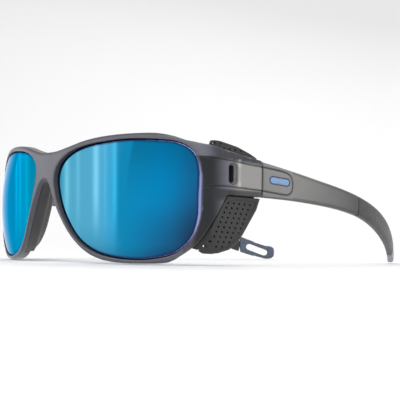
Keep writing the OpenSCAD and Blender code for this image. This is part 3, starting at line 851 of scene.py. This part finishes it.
def shield_field(x, y, z):
    depth = -plan_sheet(x, y)
    up = upper_sheet(y, z)
    low = lower_sheet(y, z)
    skin_up = smax(SHIELD_GRIP[0] - depth, depth - SHIELD_GRIP[1], 0.5)
    thick = smax(up, skin_up, 0.4)
    # The middle of the lower panel lies lower than its border
    floor = PANEL_STEP * smooth_step(0.75, 1.25, -low)
    outer = PANEL[0] + floor - depth
    panel = smax(smax(outer, depth - PANEL[1], 0.5), low, 0.35)
    body = smin(thick, panel, 0.5)
    # It stays behind the lens and its rim, and comes forward beside the rim's lower part
    beside = np.maximum(0.38 - profile_sheet(y, z), z - 21.0)
    beside = np.maximum(beside, behind(x, y, z, LENS_T + 0.3, LENS_SHIFT))
    room = np.minimum(behind(x, y, z, 3.05, LENS_SHIFT), beside)
    body = smax(body, room, 0.25)
    body = np.maximum(body, 56.6 - x)
    zone = np.minimum(low + 1.35, np.maximum(up + 0.75, 32.9 - z))
    holes = np.maximum(hole_sheet(y, z), zone)
    return smax(body, -holes, 0.14)


# Plan curve of a temple's outer face, and its stations
def temple_out(y):
    k = np.where(y < TEMPLE_Y, 0.004, 0.0062)
    return TEMPLE_X - k * (y - TEMPLE_Y) ** 2


def temple_thick(y):
    return 3.4 - 0.8 * (y - END_Y) / (TEMPLE_LONG - END_Y)


def station_table():
    """Underside and height at even distances, by the cubic that the CAD source uses."""
    p = np.array(TEMPLE_POINTS, float)
    ys = np.arange(END_Y, TEMPLE_LONG + 0.01, 0.25)
    rows = []
    for y in ys:
        i = int(np.clip(np.searchsorted(p[:, 0], y, "right") - 1, 0, len(p) - 2))
        a, b, c, d = p[max(i - 1, 0)], p[i], p[i + 1], p[min(i + 2, len(p) - 1)]
        t = (y - b[0]) / (c[0] - b[0])
        m = (c - a) * (c[0] - b[0]) / (c[0] - a[0])
        n = (d - b) * (c[0] - b[0]) / (d[0] - b[0])
        s = (b * (1 + 2 * t) * (1 - t) ** 2 + m * t * (1 - t) ** 2
             + c * t * t * (3 - 2 * t) - n * t * t * (1 - t))
        rows.append((s[1], s[2]))
    rows = np.array(rows)
    rows[ys > 136.8] = (0.1, 6.0)
    return ys, rows


ST_Y, ST_ROWS = station_table()
ARM_Y = np.arange(38.0, 144.1, 2.0)
ARM = np.stack([temple_out(ARM_Y), ARM_Y], 1)


def arm_place(x, y):
    """Signed distance outside the temple's outer face, and distance back of the nearest point."""
    best, along, sign = np.inf, 0.0, 1.0
    for a, b in zip(ARM, ARM[1:]):
        d, t, left = to_segment(a, b, x, y)
        near = d < best
        sign = np.where(near, np.where(left, -1.0, 1.0), sign)
        along = np.where(near, a[1] + t * (b[1] - a[1]), along)
        best = np.minimum(best, d)
    return np.sqrt(best) * sign, along


arm_u = Sheet(lambda x, y: arm_place(x, y)[0], 28, 76, 38, 144, 0.25, 1)
arm_y = Sheet(lambda x, y: arm_place(x, y)[1], 28, 76, 38, 144, 0.25, 1)


def arm_section(x, y, z, inset=0.0):
    """Superellipse section of the temple; also u outside its outer face, s along it, v up."""
    u = arm_u(x, y)
    s = arm_y(x, y)
    low = np.interp(s, ST_Y, ST_ROWS[:, 0])
    tall = np.interp(s, ST_Y, ST_ROWS[:, 1])
    w = temple_thick(s) / 2
    h = tall / 2
    a = (u + w) / (w - inset)
    v = z - low - h
    b = v / (h - inset)
    power = 3.4
    m = (np.abs(a) ** power + np.abs(b) ** power + 1e-9) ** (1 / power)
    return (m - 1) * (w - inset), u, s, v, h


def temple_field(x, y, z):
    body, u, s, v, h = arm_section(x, y, z)
    sleeve = smooth_step(SLEEVE[0] - 0.4, SLEEVE[0], s)
    sleeve *= 1 - smooth_step(SLEEVE[1], SLEEVE[1] + 0.4, s)
    outside = smooth_step(-1.6, -0.8, u)
    # Border along the top and bottom edges, crease lines, and the waist under the sleeve
    inner = smooth_step(0.9, 1.5, h - np.abs(v)) * (1 - smooth_step(80, SLEEVE[0], s))
    inner *= smooth_step(53.5, 56, s)
    press = 0.16 * inner + groove(s, z, 0.26, 0.28) * (s < 60)
    body = body + outside * press + sleeve * SLEEVE_T
    body = smax(body, END_Y + SEAM - y, 0.25)
    end = np.where(s > 133.0, round_box(s - 110.0, v, 29.9, 3.3, 2.4), -1.0)
    body = smax(body, end, 0.7)
    ring = 1.95 - np.sqrt((x - HINGE[0]) ** 2 + (y - HINGE[1]) ** 2)
    body = np.maximum(body, ring)
    slot_y, slot_long, slot_wide, slot_tilt = CORD_SLOT
    tilt = math.radians(slot_tilt)
    sz = np.interp(slot_y, ST_Y, ST_ROWS[:, 0] + ST_ROWS[:, 1] / 2)
    ds, dz = (s - slot_y) * 1.18, z - sz
    along = ds * math.cos(tilt) - dz * math.sin(tilt)
    across = ds * math.sin(tilt) + dz * math.cos(tilt)
    return smax(body, -slot_field(along, across, slot_long, slot_wide), 0.7)


def sleeve_field(x, y, z):
    body, _, s, v, h = arm_section(x, y, z, 0.0)
    hollow, *_ = arm_section(x, y, z, 0.78)
    ripple = 0.05 * np.cos(s * 2 * math.pi / 1.6) * smooth_step(96, 100, s)
    ripple *= 1 - smooth_step(116, 120, s)
    body = body + 0.02 + np.maximum(ripple, 0) * smooth_step(0.3, 1.2, h - np.abs(v))
    body = smax(body, 86.05 - s, 0.6)
    body = smax(body, s - 127.95, 0.6)
    return smax(body, -hollow, 0.2)


# ---- Pieces ----
# For each lens: its side, the broad light zone with its brightness, where the screen ends, and
# each streak's place across the lens, half width and brightness
SCREENS = (
    ("left", 1, (6.5, 12.0, 34.0, 37.2, 0.55), 40.0,
     ((12.5, 1.3, 0.75), (18.5, 0.9, 0.45), (27.2, 1.3, 1.05), (31.2, 0.7, 0.35), (35.3, 0.8, 0.75))),
    ("right", -1, (11.0, 14.0, 26.8, 29.0, 0.3), 31.0,
     ((25.8, 0.8, 0.6), (21.8, 0.8, 0.7), (15.6, 0.8, 0.45))))
SCREEN_AWAY = 1200.0         # distance of the screens from the lenses
SCREEN_WARM = (1.7, 1.0, 0.87)    # tint of the brightest streaks


def make_streaks(camera):
    """A studio screen for each lens, bright in upright streaks. Only the mirrors see the screens."""
    s = Shade("strip_light")
    s.tree.nodes.remove(s.bsdf)
    glow = s.node("ShaderNodeEmission")
    s.link(s.attribute("level"), glow.inputs["Strength"])
    s.link(s.mix(s.attribute("warm"), (1, 1, 1), SCREEN_WARM), glow.inputs["Color"])
    s.link(glow.outputs[0], s.out.inputs[0])
    right, back = (np.array(camera.matrix_world.col[k][:3]) for k in (0, 2))
    eye = np.array(camera.matrix_world.translation) / MM - np.array([0, Y_SHIFT, 0])
    for name, side, zone, end, peaks in SCREENS:
        z, x = np.meshgrid(np.linspace(0.5, 44.0, 40), np.linspace(4.0, end, 90), indexing="ij")
        y = barrel(x, z, 0.0, LENS_SHIFT)
        e = 0.05
        nx = (barrel(x + e, z, 0.0, LENS_SHIFT) - barrel(x - e, z, 0.0, LENS_SHIFT)) / (2 * e)
        nz = (barrel(x, z + e, 0.0, LENS_SHIFT) - barrel(x, z - e, 0.0, LENS_SHIFT)) / (2 * e)
        n = np.stack([nx * side, -np.ones_like(nx), nz], -1)
        n /= np.linalg.norm(n, axis=-1)[..., None]
        at = np.stack([x * side, y, z], -1)
        view = eye - at
        view /= np.linalg.norm(view, axis=-1)[..., None]
        ray = 2 * (n * view).sum(-1)[..., None] * n - view
        verts = (at + ray * SCREEN_AWAY).reshape(-1, 3)
        obj = new_mesh("strip_light_" + name, verts, sheet_faces(*z.shape), material=s.material)
        # Place across the lens, read at mid height along each line that is upright in the picture
        shift = (at - eye) @ right / ((eye - at) @ back)
        middle = side * shift[len(z) // 2]
        upright = np.interp(side * shift, middle, x[0])
        glare = zone[4] * smooth_step(zone[0], zone[1], upright)
        glare *= 1 - smooth_step(zone[2], zone[3], upright)
        glare *= 0.3 + 0.7 * smooth_step(2.0, 14.0, z)
        for place_x, wide, peak in peaks:
            glare += peak * np.exp(-((upright - place_x) / wide) ** 2) * smooth_step(5.0, 25.0, z)
        fade = smooth_step(0.5, 4.0, z)
        set_attribute(obj, "level", (SKY * (1 + glare * fade)).reshape(-1))
        set_attribute(obj, "warm", np.clip(glare * fade - 0.35, 0, 1).reshape(-1))
        obj.visible_camera = obj.visible_diffuse = obj.visible_shadow = False
        obj.visible_transmission = False


def set_attribute(obj, name, values):
    a = obj.data.attributes.new(name, "FLOAT", "POINT")
    a.data.foreach_set("value", np.array(values, np.float32))


def fine(step):
    return step


def frame_wall(x, y, z):
    """Painted light: paler where light shines through the see-through wall towards the joint, and a
    painted glint behind the vent.
    """
    wall = smooth_step(26.5, 33.0, y) * (x > 63) * (z < 35.0 - 0.075 * y) * 0.5
    glint = np.exp(-((y - 31.8) / 0.5) ** 2) * (plan_sheet(x, y) > -1.0)
    glint *= 0.3 + 0.7 * np.exp(-(np.minimum(np.abs(z - 32.2), np.abs(z - 25.3)) / 1.0) ** 2)
    glint *= (z > 24.6) & (z < 33.6)
    return np.clip(wall + glint, 0, 1)


def frame_painted_dark(x, y, z):
    """Painted shade where the shield lies close behind the see-through wall, and along the wing's
    edges, with a lighter band up the wing's middle.
    """
    rib = smooth_step(16.5, 19.0, y) * (1 - smooth_step(21.5, 28.0, y)) * 0.95 + 0.05
    crown = smooth_step(19.5, 24.0, y) * 0.75
    painted_dark = np.where(z > rib_top(y), crown, rib) * smooth_step(16.5, 18.5, y) * (x > 55)
    wing = smooth_step(25.0, 23.0, z) * (x > 58) * (y > 15)
    middle = np.exp(-((y - (18.3 + 0.42 * np.maximum(z - 4, 0))) / 1.5) ** 2)
    return np.clip(np.maximum(painted_dark, wing * (0.75 - 0.75 * middle)), 0, 1)


def frame_shade(x, y, z):
    """Painted shade in the creases and the vent, in a band under the rib, on the inner faces, and
    along the front's outline and the lens openings.
    """
    plan = plan_sheet(x, y)
    front = behind(x, y, z)
    line = np.exp(-(crease_sheet(y, z) / 0.26) ** 2) * (y > 17.5) * (plan > -1.0)
    vent = vent_sheet(y, z)
    hole = smooth_step(0.1, -0.25, vent) * (x > SIDE_X) * smooth_step(-0.25, -0.9, plan)
    hole *= 0.35 + 0.65 * smooth_step(-0.4, -0.66, vent)
    hole = np.maximum(hole, 0.5 * np.exp(-((vent - 0.15) / 0.22) ** 2) * (plan > -1.0))
    low = smooth_step(0.2, 1.0, rib_low(y) - z) * smooth_step(20.5, 23.0, y) * (x > SIDE_X) * 0.8
    low *= smooth_step(19.5, 21.5, z)
    low = np.maximum(low, smooth_step(-0.8, -2.2, plan) * (y > 33) * 0.3)
    inner = smooth_step(0.35, 1.2, -front) * (y < 15) * 0.45
    edges = np.exp(-((front_sheet(x, z) + 0.25) / 0.55) ** 2) * 0.6
    edges = np.maximum(edges, np.exp(-(lens_sheet(x, z) / 0.7) ** 2) * 0.5)
    edges *= (y < 22) & (front > -3.0)
    return np.clip(np.maximum.reduce([line * 0.92, low, inner, hole * 0.85, edges]), 0, 1)


def build_frame(material):
    v, q, n, seam = surface_net(frame_field, (0, -1.0, -1.0), (69.5, 42.2, 43.6), fine(0.27),
                                half=True)
    x, y, z = v.T
    # Painted light, painted shade and painted dark zones, kept on the mesh for the material
    paint = {"wall": frame_wall(x, y, z), "painted_dark": frame_painted_dark(x, y, z), "shade": frame_shade(x, y, z)}
    v, q, n = mirrored(v, q, n, seam)
    obj = new_mesh("front_moulding", v, q, n, material=material, body="front")
    for name, values in paint.items():
        set_attribute(obj, name, np.concatenate([values, values[~seam]]))
    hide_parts("front_frame")


def build_lenses(mirror):
    v, q, n, _ = surface_net(lens_field, (4, -1, -1.0), (66, 28, 42.5), fine(0.36))
    x, y, z = v.T
    edge = lens_sheet(x, z)
    # Painted dark reflection towards the lower outer corner, the outer side and the bottom
    corner = np.sqrt((x - 63.0) ** 2 + ((z - 2.0) * 1.15) ** 2)
    dusk_reflection = 0.85 * smooth_step(30.0, 3.0, corner) + 0.45 * smooth_step(54.0, 66.0, x)
    dusk_reflection += 0.35 * smooth_step(7.0, 1.0, z)
    # A painted highlight runs as a light line along the bevel's front, except beside the nose
    rim = smooth_step(-0.52, -0.36, edge) * smooth_step(12.0, 22.0, x + (20 - z) * 0.4)
    rim *= smooth_step(-0.55, -0.2, behind(x, y, z, 0.0, LENS_SHIFT))
    for name, side in SIDES:
        obj = new_mesh("lens_glass_" + name, v, q, n, side, mirror, "front")
        set_attribute(obj, "dusk_reflection", np.clip(dusk_reflection, 0, 1))
        set_attribute(obj, "rim", rim)
        # Painted shade along the lens's edge, where it runs into the frame
        set_attribute(obj, "groove", smooth_step(-1.25, -0.75, edge) * 0.8)
        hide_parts("lens_" + name)


def build_shields(material):
    v, q, n, _ = surface_net(shield_field, (56, 11.5, 2.6), (68, 42, 40), fine(0.17), relax=1)
    for name, side in SIDES:
        obj = new_mesh("shield_perforated_" + name, v, q, n, side, material,
                       name + "_shield")
        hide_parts("side_shield_" + name)


def build_temples(plastic, tip, rubber_mat):
    v, q, n, _ = surface_net(temple_field, (32, 40.8, -1), (71.2, 141, 34.5), fine(0.28))
    x, y, z = v.T
    _, u, s, vv, h = arm_section(x, y, z)
    # Painted shade: dark crease lines, dark lines along the top and bottom edges and a dark band on
    # the underside
    line = np.exp(-(crease_sheet(s, z) / 0.26) ** 2) * (s < 56) * (u > -1.2)
    edge = np.exp(-((h - np.abs(vv) - 0.75) / 0.22) ** 2) * (u > -1.5) * (s > 53)
    edge = np.maximum(edge, smooth_step(0.35, 0.1, h - np.abs(vv)))
    under = smooth_step(0.8, 0.2, h + vv) * 0.75
    shade = np.clip(np.maximum.reduce([line * 0.92, edge * 0.65, under]), 0, 1)
    tip_face = s[q].mean(1) > 107
    sv, sq, sn, _ = surface_net(sleeve_field, (40, 84.5, 0), (71, 129.5, 25), fine(0.33))
    for name, side in SIDES:
        body = name + "_temple"
        obj = new_mesh("temple_arm_" + name, v, q, n, side, plastic, body)
        obj.data.materials.append(tip)
        obj.data.polygons.foreach_set("material_index", tip_face.astype(np.int32))
        set_attribute(obj, "shade", shade)
        set_attribute(obj, "along", (s - END_Y) / (TEMPLE_LONG - END_Y))
        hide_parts("temple_" + name)
        cuff = new_mesh("ear_grip_" + name, sv, sq, sn, side, rubber_mat, body)
        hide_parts("ear_sleeve_" + name)


def pad_ring(i):
    """Section of a nose pad at a point of the nose arch, as points round it."""
    count = PAD_LAST - PAD_FIRST
    t = (i - PAD_FIRST) / count
    back = 6.2 + 3.0 * math.sin(math.pi * t) ** 0.7
    thick = pad_thick(i)
    flare = 1.8
    section = [
        (0, LIP + 0.05), (0.05, 3.5), (0.1, 5.5), (flare * 0.35, back - 2.2),
        (flare * 0.6, back - 0.7), (flare * 0.6 + 0.7, back - 0.05), (flare + 1.0, back - 0.1),
        (flare + 1.5, back - 0.9), (flare * 0.4 + thick * 0.8, 5.5 + (back - 5.5) * 0.4),
        (thick, 5.3), (thick, 3.5), (thick, LIP + 0.05),
    ]
    smooth = catmull(section, 3, True)
    c = PAD_CURVE[i]
    n = -curve_normal(PAD_CURVE, i)
    f0 = float(barrel(c[0], c[1]))
    return [(c[0] + n[0] * a, f0 + max(b, LIP + 0.02), c[1] + n[1] * a) for a, b in smooth]


def build_pads(material):
    rings = [pad_ring(i) for i in range(PAD_FIRST, PAD_LAST + 1)]
    k = len(rings[0])
    ends = []
    for ring, other in ((rings[0], rings[1]), (rings[-1], rings[-2])):
        r = np.array(ring)
        out = np.mean(r - np.array(other), axis=0)
        mid = r.mean(0)
        ends.append([tuple(mid + (p - mid) * 0.55 + out * 0.22) for p in r])
        ends.append([tuple(mid + (p - mid) * 0.85 + out * 0.12) for p in r])
    rings = [ends[0], ends[1]] + rings + [ends[3], ends[2]]
    verts = [p for ring in rings for p in ring]
    faces = []
    for i in range(len(rings) - 1):
        for j in range(k):
            a, b = i * k + j, i * k + (j + 1) % k
            faces.append((a, b, b + k, a + k))
    faces.append(tuple(range(k))[::-1])
    faces.append(tuple((len(rings) - 1) * k + j for j in range(k)))
    for name, side in SIDES:
        obj = new_mesh("nose_rest_" + name, verts, faces, None, side, material, "front")
        outward(obj)
        sub = obj.modifiers.new("smooth", "SUBSURF")
        sub.levels = sub.render_levels = 1
        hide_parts("nose_pad_" + name)


def outward(obj):
    bm = bmesh.new()
    bm.from_mesh(obj.data)
    bmesh.ops.recalc_face_normals(bm, faces=bm.faces)
    bm.to_mesh(obj.data)
    bm.free()


def build_badges(blue, rim):
    """Pill-shaped inlay with a raised dark border and a crowned middle."""
    long, tall, count = 8.2, 2.8, 16
    r = tall / 2

    def outline(inset):
        pts = []
        for s in (1, -1):
            for k in range(count + 1):
                a = -math.pi / 2 + math.pi * k / count
                pts.append((s * ((long - tall) / 2 + (r - inset) * math.cos(a)),
                            s * (r - inset) * math.sin(a)))
        return pts

    steps = [(0.0, -0.78), (0.0, -0.02), (0.06, 0.03), (0.34, 0.03), (0.40, -0.02), (0.46, -0.03),
             (0.9, 0.015), (1.3, 0.03)]
    y0, z0 = 47.6, 27.2
    turn = Matrix.Rotation(math.radians(-8), 3, "Z") @ Matrix.Rotation(math.radians(-6), 3, "X")
    # The same order as in the CAD source: first about X, then about Z
    base = Vector((float(temple_out(np.array(y0))), y0, z0))
    verts = []
    for inset, out in steps:
        for a, b in outline(inset):
            p = turn @ Vector((out, a, b)) + base
            verts.append(tuple(p))
    k = len(outline(0))
    faces = [(i * k + j, i * k + (j + 1) % k, (i + 1) * k + (j + 1) % k, (i + 1) * k + j)
             for i in range(len(steps) - 1) for j in range(k)]
    marks = [1 if i < 5 else 0 for i in range(len(steps) - 1) for _ in range(k)]
    faces += [tuple(range(k))[::-1], tuple((len(steps) - 1) * k + j for j in range(k))]
    marks += [1, 0]
    for name, side in SIDES:
        obj = new_mesh("badge_inlay_" + name, verts, faces, None, side, blue, name + "_temple")
        obj.data.materials.append(rim)
        obj.data.polygons.foreach_set("material_index", marks)
        outward(obj)
        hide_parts("badge_" + name)


def finish_cad_nodes(metal, screw_metal, clip_mat):
    for name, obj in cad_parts.items():
        if obj.hide_render:
            continue
        if name.startswith(("frame_hinge_screws", "temple_hinge_screws", "hinge_pin")):
            m = screw_metal
        elif name.startswith(("frame_hinge", "temple_hinge")):
            m = metal
        elif name.startswith("shield_clip"):
            m = clip_mat
        else:
            continue
        if not obj.material_slots:
            obj.data.materials.append(m)
        for s in obj.material_slots:
            s.material = m


camera = make_camera()
make_stage()
make_streaks(camera)
build_frame(frame_plastic())
build_lenses(mirror_lens())
build_shields(rubber("shield_rubber", (0.020, 0.019, 0.019), (0.032, 0.031, 0.030), 0.48))
build_temples(temple_plastic(), tip_plastic(),
              rubber("grip_rubber", (0.021, 0.021, 0.022), (0.034, 0.034, 0.036), 0.5))
build_pads(rubber("pad_rubber", (0.015, 0.015, 0.016), (0.026, 0.026, 0.028), 0.42))
build_badges(badge_paint("badge_blue", (0.13, 0.27, 0.50), (0.17, 0.32, 0.55)),
             badge_paint("badge_border", (0.008, 0.022, 0.085), (0.014, 0.034, 0.12)))
finish_cad_nodes(steel("hinge_steel", (0.62, 0.62, 0.65)), steel("screw_steel", (0.74, 0.74, 0.76)),
                 rubber("clip_nylon", (0.055, 0.052, 0.06), (0.09, 0.085, 0.095), 0.4))
